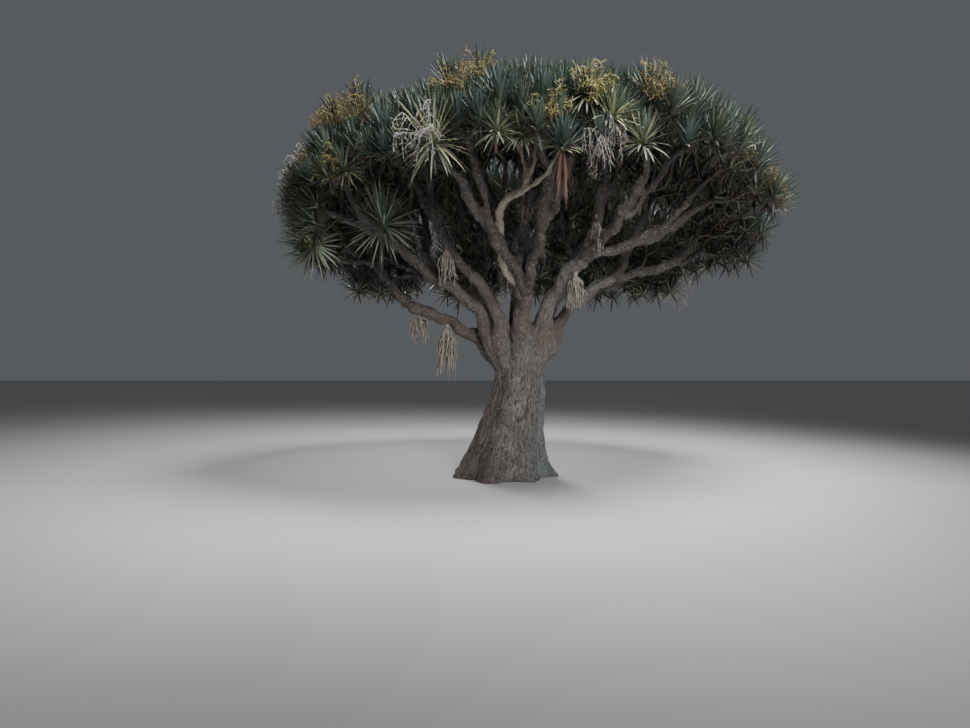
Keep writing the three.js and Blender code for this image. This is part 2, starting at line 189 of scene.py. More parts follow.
def trunk_axis(height):
    return np.array((TRUNK_LEAN * smooth_step(height, 0, WAIST_HEIGHT + 0.1), 0.0, height))


def trunk_radius(height, angle):
    below = max(0.0, 1 - height / WAIST_HEIGHT)
    above = max(0.0, (height - WAIST_HEIGHT) / (TRUNK_HEIGHT - WAIST_HEIGHT))
    flare = math.exp(-height / FLARE_HEIGHT)
    lobes = math.cos(ROOT_LOBES * angle + 0.6) + 0.4 * math.cos(3 * angle - 1.1)
    plain = WAIST_RADIUS * (1 - (1 - SHOULDER_SHARE) * above) + TRUNK_SWELL * below
    return plain + ROOT_FLARE * flare + lobes * (LOBE_DEPTH * flare + FLUTE_DEPTH)


def fork_of(name):
    heading, reach, height = BOUGHS[name]
    out = np.array((math.cos(math.radians(heading)), math.sin(math.radians(heading)), 0.0))
    fork = trunk_axis(TRUNK_HEIGHT) + reach * out
    fork[2] = height
    return fork


def bough_of(name, rosettes):
    """A bough leaves the top of the trunk steeply and bends over towards its fork."""
    heading = math.radians(BOUGHS[name][0])
    out = np.array((math.cos(heading), math.sin(heading), 0.0))
    foot = trunk_axis(TRUNK_HEIGHT - BOUGH_FOOT_DEPTH) + BOUGH_FOOT_REACH * out
    fork = fork_of(name)
    length = np.linalg.norm(fork - foot)
    rise = foot + length * (BOUGH_RISE[0] * UP + BOUGH_RISE[1] * out)
    approach = fork - length * (BOUGH_APPROACH[0] * UP + BOUGH_APPROACH[1] * out)
    radius = max(pipe_radius(rosettes), LEAST_BOUGH_RADIUS)
    ends = [share * radius for share in BOUGH_TAPER]
    return {"name": f"bough_{name}", "curve": bend(foot, rise, approach, fork), "ends": ends}


def limb_of(mass, bough):
    """A limb runs from just inside the fork of its bough to the foot of its foliage."""
    fork = bough["curve"](1)
    ahead = heading_at(bough["curve"], 1)
    start = fork - LIMB_LAP * bough["ends"][1] * ahead
    heading = unit(mass["centre"] - fork)
    aim = unit(heading + LIMB_TURN * (mass["normal"] - heading))
    foot = mass["centre"] - STEM_DEPTH * aim
    length = np.linalg.norm(foot - start)
    leave = start + length * (LIMB_LEAVE[0] * ahead + LIMB_LEAVE[1] * aim)
    curve = bend(start, leave, foot - LIMB_APPROACH * length * aim, foot)
    radius = pipe_radius(len(mass["hearts"]) * ROSETTES_PER_HEART)
    ends = [share * radius for share in LIMB_TAPER]
    return {"name": f"limb_{mass['name']}", "curve": curve, "ends": ends}


def dome_point(from_top, heading, lift):
    """The point of the crown's dome at an arc's length from its top, and the normal there."""
    step = 0.01
    angle = 0.0
    arc = 0.0
    while arc < from_top:
        arc += step * math.hypot(DOME_RADIUS * math.cos(angle), DOME_RISE * math.sin(angle))
        angle += step
    reach = DOME_RADIUS * math.sin(angle)
    x = reach * math.cos(heading)
    y = reach * math.sin(heading)
    height = RIM_HEIGHT + DOME_RISE * math.cos(angle) + RIM_SLOPE[0] * x + RIM_SLOPE[1] * y
    across = math.sin(angle) / DOME_RADIUS
    normal = (across * math.cos(heading), across * math.sin(heading), math.cos(angle) / DOME_RISE)
    normal = unit(np.array(normal))
    point = np.array((x, y, height)) + CROWN_CENTRE + lift * normal
    return {"point": point, "normal": normal, "reach": reach, "from_top": from_top}


def plant_mass(ring, number, draw):
    """A mass of foliage has one heart in the middle and the others in a ring round it."""
    name = f"{ring['name']}_{number + 1:02d}"
    lift = DOME_LUMPS * (2 * draw() - 1)
    turn = ring["turn"] + 360 * (number + 0.3 * (draw() - 0.5)) / ring["masses"]
    heading = math.radians(turn)
    sag = SAG_LENGTH * max(0.0, math.cos(heading - math.radians(SAG_HEADING))) ** 2
    opening = OPEN_LENGTH * max(0.0, math.cos(heading - math.radians(OPEN_HEADING)))
    from_top = ring["from_top"] * (1 + (sag - opening) / DOME_RADIUS)
    middle = dome_point(from_top, heading, lift)
    hearts = [middle]
    first = 2 * math.pi * draw()
    for k in range(1, ring["hearts"]):
        turn = first + 2 * math.pi * (k + 0.3 * (draw() - 0.5)) / (ring["hearts"] - 1)
        out = varied(HEART_RING, 0.16, draw)
        aside = out * math.sin(turn) / max(middle["reach"], HEART_RING)
        hearts.append(dome_point(from_top + out * math.cos(turn), heading + aside, lift))
    centre, normal = middle["point"], middle["normal"]
    return {"name": name, "centre": centre, "normal": normal, "hearts": hearts}


def bough_for(mass):
    """A mass grows on the bough that points most nearly towards it."""
    base = trunk_axis(TRUNK_HEIGHT)
    aim = unit(mass["centre"] - base)
    return max(BOUGHS, key=lambda name: np.dot(unit(fork_of(name) - base), aim))


def split_hearts(hearts):
    """Halves a group of hearts across the line between the two that are furthest apart."""
    pair = (hearts[0], hearts[1])
    for a in hearts:
        for b in hearts:
            apart = np.linalg.norm(a["point"] - b["point"])
            if apart > np.linalg.norm(pair[0]["point"] - pair[1]["point"]):
                pair = (a, b)
    line = pair[1]["point"] - pair[0]["point"]
    ordered = sorted(hearts, key=lambda heart: np.dot(heart["point"], line))
    half = math.ceil(len(hearts) / 2)
    return ordered[:half], ordered[half:]


def limb_line(curve, ends, step=WOOD_STEP, foot_flare=0.0):
    """The middle line of a branch, straying a little, and its thickness all along."""
    rough = sum(np.linalg.norm(curve((k + 1) / 8) - curve(k / 8)) for k in range(8))
    count = max(3, math.ceil(rough / step) + 1)
    share = np.linspace(0, 1, count)
    path = np.array([curve(t) for t in share])
    radius = np.linspace(ends[0], ends[1], count) * (1 - JOINT_SWELL * np.sin(np.pi * share))
    along = rough * share
    phase = 40 * float(path[0].sum() + path[-1].sum())
    sway = 2 * WANDER * min(1.0, SWAY_GAIN * rough) * np.sin(np.pi * share)[:, None]
    waves = [np.sin(along * (8 + 3 * axis) + phase * (1 + axis)) for axis in range(3)]
    flare = foot_flare * np.exp(-(((along - FLARE_PLACE) / FLARE_REACH) ** 2))
    return path + sway * np.array(waves).T, radius * (1 + flare)


def bent_line(points, ends):
    """A line with a soft bend at each of its points."""
    points = np.array(points)
    for _ in range(3):
        cut = [points[0]]
        for a, b in zip(points, points[1:]):
            cut.extend((0.82 * a + 0.18 * b, 0.18 * a + 0.82 * b))
        points = np.array([*cut, points[-1]])
    return points, np.linspace(*ends, len(points))


def grow_twigs(begin, leave, ends, worth, lines, tips):
    """Twigs fork towards ever fewer ends, each worth so many rosettes. The last is left to tips."""
    if len(ends) == 1:
        tips.append((begin, leave, ends[0]))
        return
    radius = pipe_radius(max(1.0, len(ends) * worth))
    middle = np.mean([end["point"] for end in ends], axis=0)
    fork = begin + FORK_SHARE * (middle - begin)
    ahead = unit(fork - begin)
    reach = np.linalg.norm(fork - begin)
    curve = bend(begin, begin + 0.35 * reach * leave, fork - 0.3 * reach * ahead, fork)
    lines.append(limb_line(curve, (1.05 * radius, radius)))
    for group in split_hearts(ends):
        grow_twigs(fork, ahead, group, worth, lines, tips)


def grow_side_limb(limb, hearts, lines):
    """Half of a mass is fed by a side limb that leaves the limb early. Returns where it ends."""
    foot = limb["curve"](SIDE_LIMB_START)
    ahead = heading_at(limb["curve"], SIDE_LIMB_START)
    middle = np.mean([heart["point"] for heart in hearts], axis=0)
    normal = unit(np.mean([heart["normal"] for heart in hearts], axis=0))
    end = middle - SIDE_LIMB_DEPTH * unit(unit(middle - foot) + normal)
    aim = unit(middle - end)
    reach = np.linalg.norm(end - foot)
    curve = bend(foot, foot + 0.4 * reach * ahead, end - 0.35 * reach * aim, end)
    radius = pipe_radius(len(hearts) * ROSETTES_PER_HEART)
    lines.append(limb_line(curve, (1.15 * radius, radius)))
    return end, aim


draw = seeded_random(SEED)
masses = [plant_mass(ring, k, draw) for ring in RINGS for k in range(ring["masses"])]
boughs = {}
for name in BOUGHS:
    hearts = sum(len(mass["hearts"]) for mass in masses if bough_for(mass) == name)
    boughs[name] = bough_of(name, hearts * ROSETTES_PER_HEART)
limbs = [limb_of(mass, boughs[bough_for(mass)]) for mass in masses]
branches = {branch["name"]: branch for branch in [*boughs.values(), *limbs]}

bough_lines = [limb_line(b["curve"], b["ends"], foot_flare=FOOT_FLARE) for b in boughs.values()]
limb_lines = [limb_line(limb["curve"], limb["ends"]) for limb in limbs]
twig_ends = []
for mass, limb in zip(masses, limbs):
    foot = limb["curve"](1)
    ahead = heading_at(limb["curve"], 1)
    neck = foot + NECK_LENGTH * ahead
    limb_lines.append(limb_line(bend(foot, foot, neck, neck), (limb["ends"][1],) * 2))
    tips = []
    first, second = split_hearts(mass["hearts"])
    grow_twigs(neck, ahead, first, ROSETTES_PER_HEART, limb_lines, tips)
    end, aim = grow_side_limb(limb, second, limb_lines)
    grow_twigs(end, aim, second, ROSETTES_PER_HEART, limb_lines, tips)
    twig_ends.extend((mass, *tip) for tip in tips)

host, along = OLD_LIMB_HOST
foot = branches[host]["curve"](along)
old_limb_lines = [bent_line((foot, *OLD_LIMB, OLD_LIMB_FORK), OLD_LIMB_RADII)]
for prong in PRONGS:
    old_limb_lines.append(bent_line((OLD_LIMB_FORK, *prong), PRONG_RADII))
for host, along, points in YOUNG_SHOOTS:
    foot = branches[host]["curve"](along)
    limb_lines.append(bent_line((foot, *points), SHOOT_RADII))


class Socket:
    """A node's output. Sums and products of sockets add the Math nodes that they need."""

    def __init__(self, nodes, link):
        self.nodes = nodes
        self.link = link

    def math(self, operation, *values):
        inputs = dict(enumerate((self, *values)))
        return self.nodes.add("ShaderNodeMath", {"operation": operation}, inputs)

    def __add__(self, other):
        return self.math("ADD", other)

    def __sub__(self, other):
        return self.math("SUBTRACT", other)

    def __rsub__(self, other):
        return self.math("MULTIPLY", -1.0) + other

    def __mul__(self, other):
        return self.math("MULTIPLY", other)

    def __abs__(self):
        return self.math("ABSOLUTE")

    __radd__ = __add__
    __rmul__ = __mul__

    def between(self, low, high):
        """Nought below low, one above high and a smooth step from one to the other."""
        inputs = {"Value": self, "From Min": low, "From Max": high}
        settings = {"interpolation_type": "SMOOTHSTEP"}
        return self.nodes.add("ShaderNodeMapRange", settings, inputs)


class Nodes:
    """A tree of nodes, for a material or for geometry."""

    def __init__(self, tree):
        self.tree = tree

    def add(self, kind, settings=None, inputs=None, output=0):
        """Adds a node with its settings and the values or links of its sockets."""
        node = self.tree.nodes.new(kind)
        for name, value in (settings or {}).items():
            setattr(node, name, value)
        for name, value in (inputs or {}).items():
            if isinstance(value, Socket):
                self.tree.links.new(value.link, node.inputs[name])
            elif value is not None:
                node.inputs[name].default_value = value
        return Socket(self, node.outputs[output]) if node.outputs else None

    def mix(self, factor, a, b):
        """One colour over another."""
        a, b = ((*c, 1.0) if isinstance(c, tuple) else c for c in (a, b))
        inputs = {0: factor, 6: a, 7: b}
        return self.add("ShaderNodeMix", {"data_type": "RGBA"}, inputs, output=2)

    def stretched(self, vector, stretch):
        settings = {"operation": "MULTIPLY"}
        return self.add("ShaderNodeVectorMath", settings, {0: vector, 1: stretch})

    def noise(self, vector, scale, detail=3.0, roughness=0.5, distortion=0.0):
        inputs = {"Vector": vector, "Scale": scale, "Detail": detail}
        inputs |= {"Roughness": roughness, "Distortion": distortion}
        return self.add("ShaderNodeTexNoise", None, inputs)

    def here(self):
        """Where a point of a material is on the tree."""
        return self.add("ShaderNodeTexCoord", output=3)

    def told(self, name, output=2):
        """What the mesh says to its material: a number, or a vector from output 1."""
        return self.add("ShaderNodeAttribute", {"attribute_name": name}, output=output)

    def drive(self, shader, name, value):
        """Links a value into a socket of the shader."""
        self.tree.links.new(value.link, shader.inputs[name])

    def emboss(self, shader, strength, distance, height):
        inputs = {"Strength": strength, "Distance": distance, "Height": height}
        self.drive(shader, "Normal", self.add("ShaderNodeBump", None, inputs))

    def read(self, name, kind="FLOAT"):
        """What the mesh says to the rule that grows it."""
        return self.add("GeometryNodeInputNamedAttribute", {"data_type": kind}, {"Name": name})

    def store(self, geometry, name, value, kind="FLOAT"):
        settings = {"domain": "POINT", "data_type": kind}
        inputs = {"Geometry": geometry, "Name": name, "Value": value}
        return self.add("GeometryNodeStoreNamedAttribute", settings, inputs)

    def end(self, geometry, material):
        """Every rule ends in real geometry that carries its material."""
        real = self.add("GeometryNodeRealizeInstances", None, {"Geometry": geometry})
        inputs = {"Geometry": real, "Material": material}
        done = self.add("GeometryNodeSetMaterial", None, inputs)
        self.add("NodeGroupOutput", None, {0: done})


def finish(name, roughness=0.8):
    """A new material, its nodes and its shader."""
    material = bpy.data.materials.new(name)
    material.use_nodes = True
    shader = material.node_tree.nodes["Principled BSDF"]
    shader.inputs["Roughness"].default_value = roughness
    return material, Nodes(material.node_tree), shader


def growth_rule(name, *sizes):
    """A geometry tree with its inputs: a name, a type and a default for each size."""
    tree = bpy.data.node_groups.new(name, "GeometryNodeTree")
    face = tree.interface
    face.new_socket(name="Geometry", in_out="INPUT", socket_type="NodeSocketGeometry")
    face.new_socket(name="Geometry", in_out="OUTPUT", socket_type="NodeSocketGeometry")
    for label, kind, value in sizes:
        socket = face.new_socket(name=label, in_out="INPUT", socket_type=f"NodeSocket{kind}")
        if value is not None:
            socket.default_value = value
    nodes = Nodes(tree)
    entry = tree.nodes.new("NodeGroupInput")
    return nodes, {socket.name: Socket(nodes, socket) for socket in entry.outputs if socket.name}


def grown(name, mesh, rule=None, sizes=None, modifiers=()):
    """Runs a rule and modifiers on a mesh and keeps the result as a plain mesh."""
    seedling = bpy.data.objects.new(name, mesh)
    bpy.context.scene.collection.objects.link(seedling)
    if rule:
        modifier = seedling.modifiers.new("growth", "NODES")
        modifier.node_group = rule
        for item in rule.interface.items_tree:
            if item.in_out == "INPUT" and item.name in (sizes or {}):
                modifier[item.identifier] = sizes[item.name]
    for kind, settings in modifiers:
        modifier = seedling.modifiers.new(kind.lower(), kind)
        for label, value in settings.items():
            setattr(modifier, label, value)
    evaluated = seedling.evaluated_get(bpy.context.evaluated_depsgraph_get())
    result = bpy.data.meshes.new_from_object(evaluated)
    result.name = name
    bpy.data.objects.remove(seedling)
    return result


def mesh_of(name, points, edges=(), faces=(), **columns):
    """A mesh from points, with one attribute for each further column."""
    mesh = bpy.data.meshes.new(name)
    mesh.from_pydata(np.asarray(points).tolist(), list(edges), list(faces))
    for label, values in columns.items():
        values = np.asarray(values, dtype=np.float32)
        flat = values.ndim == 1
        column = mesh.attributes.new(label, "FLOAT" if flat else "FLOAT_VECTOR", "POINT")
        column.data.foreach_set("value" if flat else "vector", values.ravel())
    return mesh


def lines_mesh(name, lines):
    """Lines as loose edges, with the thickness that they grow to."""
    points, radii, edges = [], [], []
    for path, radius in lines:
        first = len(points)
        points.extend(path)
        radii.extend(radius)
        edges.extend((first + k, first + k + 1) for k in range(len(path) - 1))
    return mesh_of(name, points, edges, thickness=radii)


def piece(name, mesh, slot, *nodes):
    """Sets a finished mesh in the tree and hides the solids that it stands for."""
    made = bpy.data.objects.new(name, mesh)
    bpy.context.scene.collection.objects.link(made)
    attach(made, "root")
    if nodes:
        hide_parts(*nodes)


def branch_rule():
    """Branches follow lines: a round skin as thick as each point asks for."""
    sizes = (("Sides", "Int", 16), ("Material", "Material", None))
    nodes, given = growth_rule("branches", *sizes)
    line = nodes.add("GeometryNodeMeshToCurve", None, {"Mesh": given["Geometry"]})
    length = nodes.add("GeometryNodeSplineParameter", output=1)
    line = nodes.store(line, "along", length)
    inputs = {"Resolution": given["Sides"], "Radius": 1.0}
    ring = nodes.add("GeometryNodeCurvePrimitiveCircle", None, inputs)
    share = nodes.add("GeometryNodeSplineParameter", output=0)
    ring = nodes.store(ring, "around", share)
    thickness = nodes.read("thickness")
    inputs = {"Curve": line, "Profile Curve": ring, "Scale": thickness, "Fill Caps": True}
    skin = nodes.add("GeometryNodeCurveToMesh", None, inputs)
    turn = nodes.read("around") * (2 * math.pi)
    x, y = turn.math("COSINE") * thickness, turn.math("SINE") * thickness
    inputs = {"X": x, "Y": y, "Z": nodes.read("along")}
    place = nodes.add("ShaderNodeCombineXYZ", None, inputs)
    skin = nodes.store(skin, "bark", place, "FLOAT_VECTOR")
    nodes.end(skin, given["Material"])
    return nodes.tree


BRANCH_RULE = branch_rule()


def trunk_skin():
    """The trunk as rings, closed by a flat foot and a low dome between the boughs."""
    sides, layers = 96, 60
    points = []
    for layer in range(layers + 1):
        height = TRUNK_HEIGHT * layer / layers
        centre = trunk_axis(height)
        for k in range(sides):
            angle = 2 * math.pi * k / sides
            radius = trunk_radius(height, angle)
            points.append(centre + radius * np.array((math.cos(angle), math.sin(angle), 0)))
    faces = []
    for layer in range(layers):
        for k in range(sides):
            a, b = layer * sides + k, layer * sides + (k + 1) % sides
            faces.append((a, b, b + sides, a + sides))
    foot, crotch = len(points), len(points) + 1
    points.extend((trunk_axis(0), trunk_axis(TRUNK_HEIGHT + CROTCH_RISE)))
    for k in range(sides):
        after = (k + 1) % sides
        faces.append((foot, after, k))
        faces.append((crotch, layers * sides + k, layers * sides + after))
    return mesh_of("trunk_skin", points, (), faces)


def joined(*meshes):
    shape = bmesh.new()
    for mesh in meshes:
        shape.from_mesh(mesh)
    result = bpy.data.meshes.new("joined")
    shape.to_mesh(result)
    shape.free()
    return result


def straight_frames(path):
    """Directions along a line, and one square to them that doesn't twist."""
    ahead = np.gradient(path, axis=0)
    ahead /= np.linalg.norm(ahead, axis=1)[:, None]
    square = [side_of(ahead[0], 0.0)]
    for heading in ahead[1:]:
        square.append(unit(square[-1] - heading * np.dot(heading, square[-1])))
    return ahead, np.array(square)


def bark_places(points, lines, line_kinds):
    """Where each point lies as if its branch were straight, and which kind of wood it is on."""
    samples = []
    for number, (path, radius) in enumerate(lines):
        ahead, square = straight_frames(path)
        steps = np.linalg.norm(np.diff(path, axis=0), axis=1)
        along = np.concatenate(((0.0,), np.cumsum(steps))) + BARK_SHIFT * number
        kind = np.full(len(path), line_kinds[number])
        samples.append(np.column_stack((path, radius, ahead, square, along, kind)))
    samples = np.concatenate(samples)
    tree = kdtree.KDTree(len(samples))
    for number, sample in enumerate(samples):
        tree.insert(sample[:3], number)
    tree.balance()
    places = np.empty((len(points), 3))
    kinds = np.empty(len(points))
    for number, point in enumerate(points):
        found = tree.find_n(point, 4)
        gaps = [distance - samples[k, 3] for _, k, distance in found]
        best = int(np.argmin(gaps))
        trunk_gap = math.inf
        if point[2] < TRUNK_HEIGHT + 0.2:
            height = min(point[2], TRUNK_HEIGHT)
            x, y = point[0] - trunk_axis(height)[0], point[1]
            trunk_gap = math.hypot(x, y) - trunk_radius(height, math.atan2(y, x))
        if trunk_gap < gaps[best]:
            places[number] = (x, y, point[2])
            kinds[number] = 0.0
            continue
        sample = samples[found[best][1]]
        away = point - sample[:3]
        across = np.cross(sample[4:7], sample[7:10])
        along = sample[10] + away @ sample[4:7]
        places[number] = (away @ sample[7:10], away @ across, along)
        kinds[number] = sample[11]
    return places, kinds


def bark_rule():
    """The relief of the bark: lumps everywhere, and furrows that run up the old wood."""
    sizes = (
        ("Lump Depth", "Float", 0.04),
        ("Furrow Depth", "Float", 0.013),
        ("Material", "Material", None),
    )
    nodes, given = growth_rule("bark_relief", *sizes)
    place = nodes.read("bark", "FLOAT_VECTOR")
    age = nodes.read("age")
    here = nodes.add("GeometryNodeInputPosition")
    lumps = nodes.noise(nodes.stretched(here, (1.0, 1.0, 0.6)), 5.5, 2.0) - 0.5
    knobs = nodes.noise(here, 15.0, 1.0) - 0.5
    height = given["Lump Depth"] * (lumps * (1.2 + age) + knobs * (1.3 - age))
    height = height - given["Furrow Depth"] * furrow_mask(nodes, place) * (age * 1.1 + 0.15)
    normal = nodes.add("GeometryNodeInputNormal")
    settings = {"operation": "SCALE"}
    offset = nodes.add("ShaderNodeVectorMath", settings, {0: normal, "Scale": height})
    inputs = {"Geometry": given["Geometry"], "Offset": offset}
    skin = nodes.add("GeometryNodeSetPosition", None, inputs)
    nodes.end(skin, given["Material"])
    return nodes.tree


def furrow_mask(nodes, place):
    """One in the furrows of the bark and nought on its plates."""
    wide = nodes.noise(nodes.stretched(place, (1.0, 1.0, 0.13)), 15.0, 2.0, 0.5, 0.5)
    thin = nodes.noise(nodes.stretched(place, (1.0, 1.0, 0.2)), 34.0, 2.0, 0.5, 0.4)
    wide = 1.0 - abs(wide - 0.5).between(0.0, 0.035)
    thin = 1.0 - abs(thin - 0.5).between(0.0, 0.05)
    return wide.math("MAXIMUM", thin * 0.55)


def bark_finish():
    """Grey bark: dark furrows, silvery plates, lichen on the boughs and warm new bark, with painted
    light and painted shade.
    """
    material, nodes, shader = finish("grey_bark", 0.9)
    place = nodes.told("bark", output=1)
    age = nodes.told("age")
    bleached = nodes.told("bleached")
    here = nodes.here()
    split = {"Vector": here}
    x = nodes.add("ShaderNodeSeparateXYZ", None, split, output=0)
    z = nodes.add("ShaderNodeSeparateXYZ", None, split, output=2)
    furrows = furrow_mask(nodes, place)
    fine = nodes.noise(nodes.stretched(place, (1.0, 1.0, 0.25)), 70.0, 4.0, 0.65, 0.4)
    cloud = nodes.noise(here, 3.2, 4.0, 0.6)
    old = nodes.mix(fine.between(0.32, 0.68), (0.075, 0.064, 0.06), (0.205, 0.185, 0.178))
    # Young wood, on the limbs under the crown, is dark: partly its own colour, partly painted
    # shade.
    young_and_shaded = nodes.mix(fine.between(0.32, 0.68), (0.045, 0.038, 0.035), (0.115, 0.103, 0.096))
    colour = nodes.mix(age.between(0.0, 0.25), young_and_shaded, old)
    silver = cloud.between(0.46, 0.7) * fine.between(0.35, 0.6)
    colour = nodes.mix(silver * (0.35 + age * 0.3), colour, (0.3, 0.295, 0.285))
    # The side that the trunk leans to is painted paler as painted light, with a thin green bloom.
    lit_side = (x + z * -0.12).between(0.2, 0.5) * age
    colour = nodes.mix(lit_side * 0.5, colour, (0.2, 0.25, 0.235))
    # The other side, under the leaning wood, gets painted shade and a brown tone.
    shade_and_brown_side = (1.0 - (x + z * -0.15).between(-0.35, 0.05)) * age
    colour = nodes.mix(shade_and_brown_side * 0.4, colour, (0.13, 0.085, 0.07))
    # The upper trunk and the feet of the boughs still show warm brown bark.
    warm = z.between(1.5, 2.0) * (1.0 - z.between(2.4, 2.9)) * cloud.between(0.4, 0.6)
    colour = nodes.mix(warm * 0.7, colour, (0.1, 0.062, 0.047))
    flecks = nodes.add("ShaderNodeTexVoronoi", None, {"Vector": here, "Scale": 36.0})
    speckle = (1.0 - flecks.between(0.12, 0.34)) * nodes.noise(here, 6.0).between(0.4, 0.56)
    colour = nodes.mix(speckle * (1.0 - age * 0.8) * 0.75, colour, (0.4, 0.39, 0.36))
    colour = nodes.mix(furrows * (age * 0.6 + 0.2), colour, (0.026, 0.02, 0.018))
    # The old limb is bleached pale, and painted paler still as painted light, since it stands in
    # the crown's shade.
    colour = nodes.mix(bleached * fine.between(0.2, 0.55) * 0.85, colour, (0.42, 0.37, 0.29))
    nodes.drive(shader, "Base Color", colour)
    nodes.drive(shader, "Roughness", 0.93 - silver * 0.15)
    rings = nodes.noise(nodes.stretched(place, (0.3, 0.3, 1.0)), 40.0, 2.0, 0.5)
    relief = fine * 0.5 + rings * (1.1 - age) * 0.8 - furrows * age * 0.7
    nodes.emboss(shader, 0.65, 0.014, relief)
    return material


def split_wood(mesh, kinds):
    """Parts the skin between boughs and limbs, and closes both where they part."""
    for wanted in (False, True):
        shape = bmesh.new()
        shape.from_mesh(mesh)
        shape.verts.ensure_lookup_table()
        other = []
        for face in shape.faces:
            is_limb = np.mean([kinds[vertex.index] for vertex in face.verts]) > 1.5
            if is_limb != wanted:
                other.append(face)
        bmesh.ops.delete(shape, geom=other, context="FACES")
        rims = [edge for edge in shape.edges if edge.is_boundary]
        bmesh.ops.holes_fill(shape, edges=rims, sides=0)
        bmesh.ops.triangulate(shape, faces=[face for face in shape.faces if len(face.verts) > 4])
        part = mesh.copy()
        shape.to_mesh(part)
        shape.free()
        yield part


wood_lines = [*bough_lines, *limb_lines, *old_limb_lines]
line_kinds = [1.0] * len(bough_lines) + [2.0] * len(limb_lines) + [3.0] * len(old_limb_lines)
tubes = grown("tubes", lines_mesh("wood_lines", wood_lines), BRANCH_RULE, {"Sides": 20})
remesh = ("REMESH", {"mode": "VOXEL", "voxel_size": VOXEL, "use_smooth_shade": True})
soften = ("SMOOTH", {"factor": 0.5, "iterations": 6})
wood = grown("wood", joined(trunk_skin(), tubes), modifiers=(remesh, soften))
wood_points = np.empty(len(wood.vertices) * 3)
wood.vertices.foreach_get("co", wood_points)
wood_points = wood_points.reshape(-1, 3)
places, kinds = bark_places(wood_points, wood_lines, line_kinds)
for label, kind, values in (
    ("bark", "FLOAT_VECTOR", places),
    ("age", "FLOAT", np.clip(1.0 - kinds * 0.75, 0.0, 1.0)),
    ("bleached", "FLOAT", kinds > 2.5),
):
    column = wood.attributes.new(label, kind, "POINT")
    column.data.foreach_set("value" if kind == "FLOAT" else "vector", values.ravel())
bark = bark_finish()
wood = grown("wood", wood, bark_rule(), {"Material": bark})
wood_points = np.empty(len(wood.vertices) * 3)
wood.vertices.foreach_get("co", wood_points)
wood_points[2::3] = np.maximum(wood_points[2::3], 0.0)
wood.vertices.foreach_set("co", wood_points)
trunk_mesh, limbs_mesh = split_wood(wood, kinds)
piece("trunk_and_boughs", trunk_mesh, "trunk bark", "trunk", *(b["name"] for b in boughs.values()))
piece("limbs", limbs_mesh, "branch bark", *(limb["name"] for limb in limbs))

# Each heart of the crown is a bunch of finger-thick twigs, bare and ringed by old leaf scars.
# They fork on from the limbs towards the light, push apart, and turn up to end in a rosette each.
ROSETTES_IN_HEART = 8
HEART_SPREAD = 0.34
HEART_LUMPS = 0.09  # how unevenly its rosettes stand over the dome
EDGE_LIFT = 0.2  # how much more the rosettes at the crown's edge turn up
EDGE_BAND = (2.4, 3.4)  # how far from the crown's top that begins and is full
HEART_SAG = 0.04  # the most that a rosette is below the middle of its heart
ROOM = 0.3  # rosettes nearer than this push each other apart
PUSH = 0.05
PUSH_ROUNDS = 14
FARTHEST_PUSH = 0.2
TWIG_STEP = 0.05
GOLDEN_TURN = math.radians(137.508)
CAMERA_PLACE = (-0.26, -10.5, 1.6)
FOCAL_PIXELS = 728.8
MIDDLE_PIXEL = (485, 364)
FARTHEST_SHIFT = 0.3
NEARER_IS_WORTH = 9  # pixels of miss, for each metre nearer the eye
# What stands out of the crown, and where, across and down, as seen from the front.
SIGHTS = (
    ("ochre", ((317, 174),)),
    ("yellow", ((344, 170), (378, 186), (550, 116), (588, 94))),
    ("ochre", ((480, 82), (455, 95), (335, 116), (362, 106), (721, 154), (757, 192), (649, 96))),
    ("tangle", ((433, 142),)),
    ("hanging", ((602, 142),)),
    ("faded", ((497, 130), (522, 134), (612, 116), (643, 142), (372, 198), (738, 188))),
    ("rusty", ((563, 146),)),
)


def open_heart(mass, heart, draw):
    """The rosettes of a heart fill a disc on the dome."""
    first = 2 * math.pi * draw()
    opened = []
    for k in range(ROSETTES_IN_HEART):
        side = side_of(heart["normal"], first + k * GOLDEN_TURN)
        out = HEART_SPREAD * math.sqrt((k + 0.5) / ROSETTES_IN_HEART)
        point = heart["point"] + out * side + HEART_LUMPS * (draw() - 0.6) * heart["normal"]
        if heart["from_top"] > RINGS[-1]["from_top"] * 0.8:
            point[2] = max(point[2], heart["point"][2] - HEART_SAG)
        lift = ROSETTE_LIFT + EDGE_LIFT * smooth_step(heart["from_top"], *EDGE_BAND)
        axis = heart["normal"] + lift * (UP - heart["normal"])
        axis = unit(axis + 0.25 * (draw() - 0.5) * side)
        opened.append({"point": point, "normal": heart["normal"], "axis": axis, "mass": mass})
        opened[-1]["from_top"] = heart["from_top"]
    return opened


def push_apart(rosettes):
    """Rosettes crowd towards the light until they stand evenly over the dome."""
    start = np.array([rosette["point"] for rosette in rosettes])
    normal = np.array([rosette["normal"] for rosette in rosettes])
    point = start.copy()
    for _ in range(PUSH_ROUNDS):
        gap = point[:, None] - point[None]
        apart = np.linalg.norm(gap, axis=2) + 1e-6
        weight = np.clip(1 - apart / ROOM, 0, 1)
        np.fill_diagonal(weight, 0)
        push = PUSH * (gap / apart[:, :, None] * weight[:, :, None]).sum(axis=1)
        push -= normal * (push * normal).sum(axis=1)[:, None]
        push[:, 2] = np.maximum(push[:, 2], 0)
        point += push
        moved = point - start
        far = np.linalg.norm(moved, axis=1)[:, None] + 1e-9
        point = start + moved * np.minimum(1, FARTHEST_PUSH / far)
    for rosette, place in zip(rosettes, point):
        rosette["point"] = place


def in_view(point):
    """Where a point is in the front view, and how far from the eye."""
    far = point[1] - CAMERA_PLACE[1]
    across = MIDDLE_PIXEL[0] + FOCAL_PIXELS * (point[0] - CAMERA_PLACE[0]) / far
    down = MIDDLE_PIXEL[1] - FOCAL_PIXELS * (point[2] - CAMERA_PLACE[2]) / far
    return across, down, far


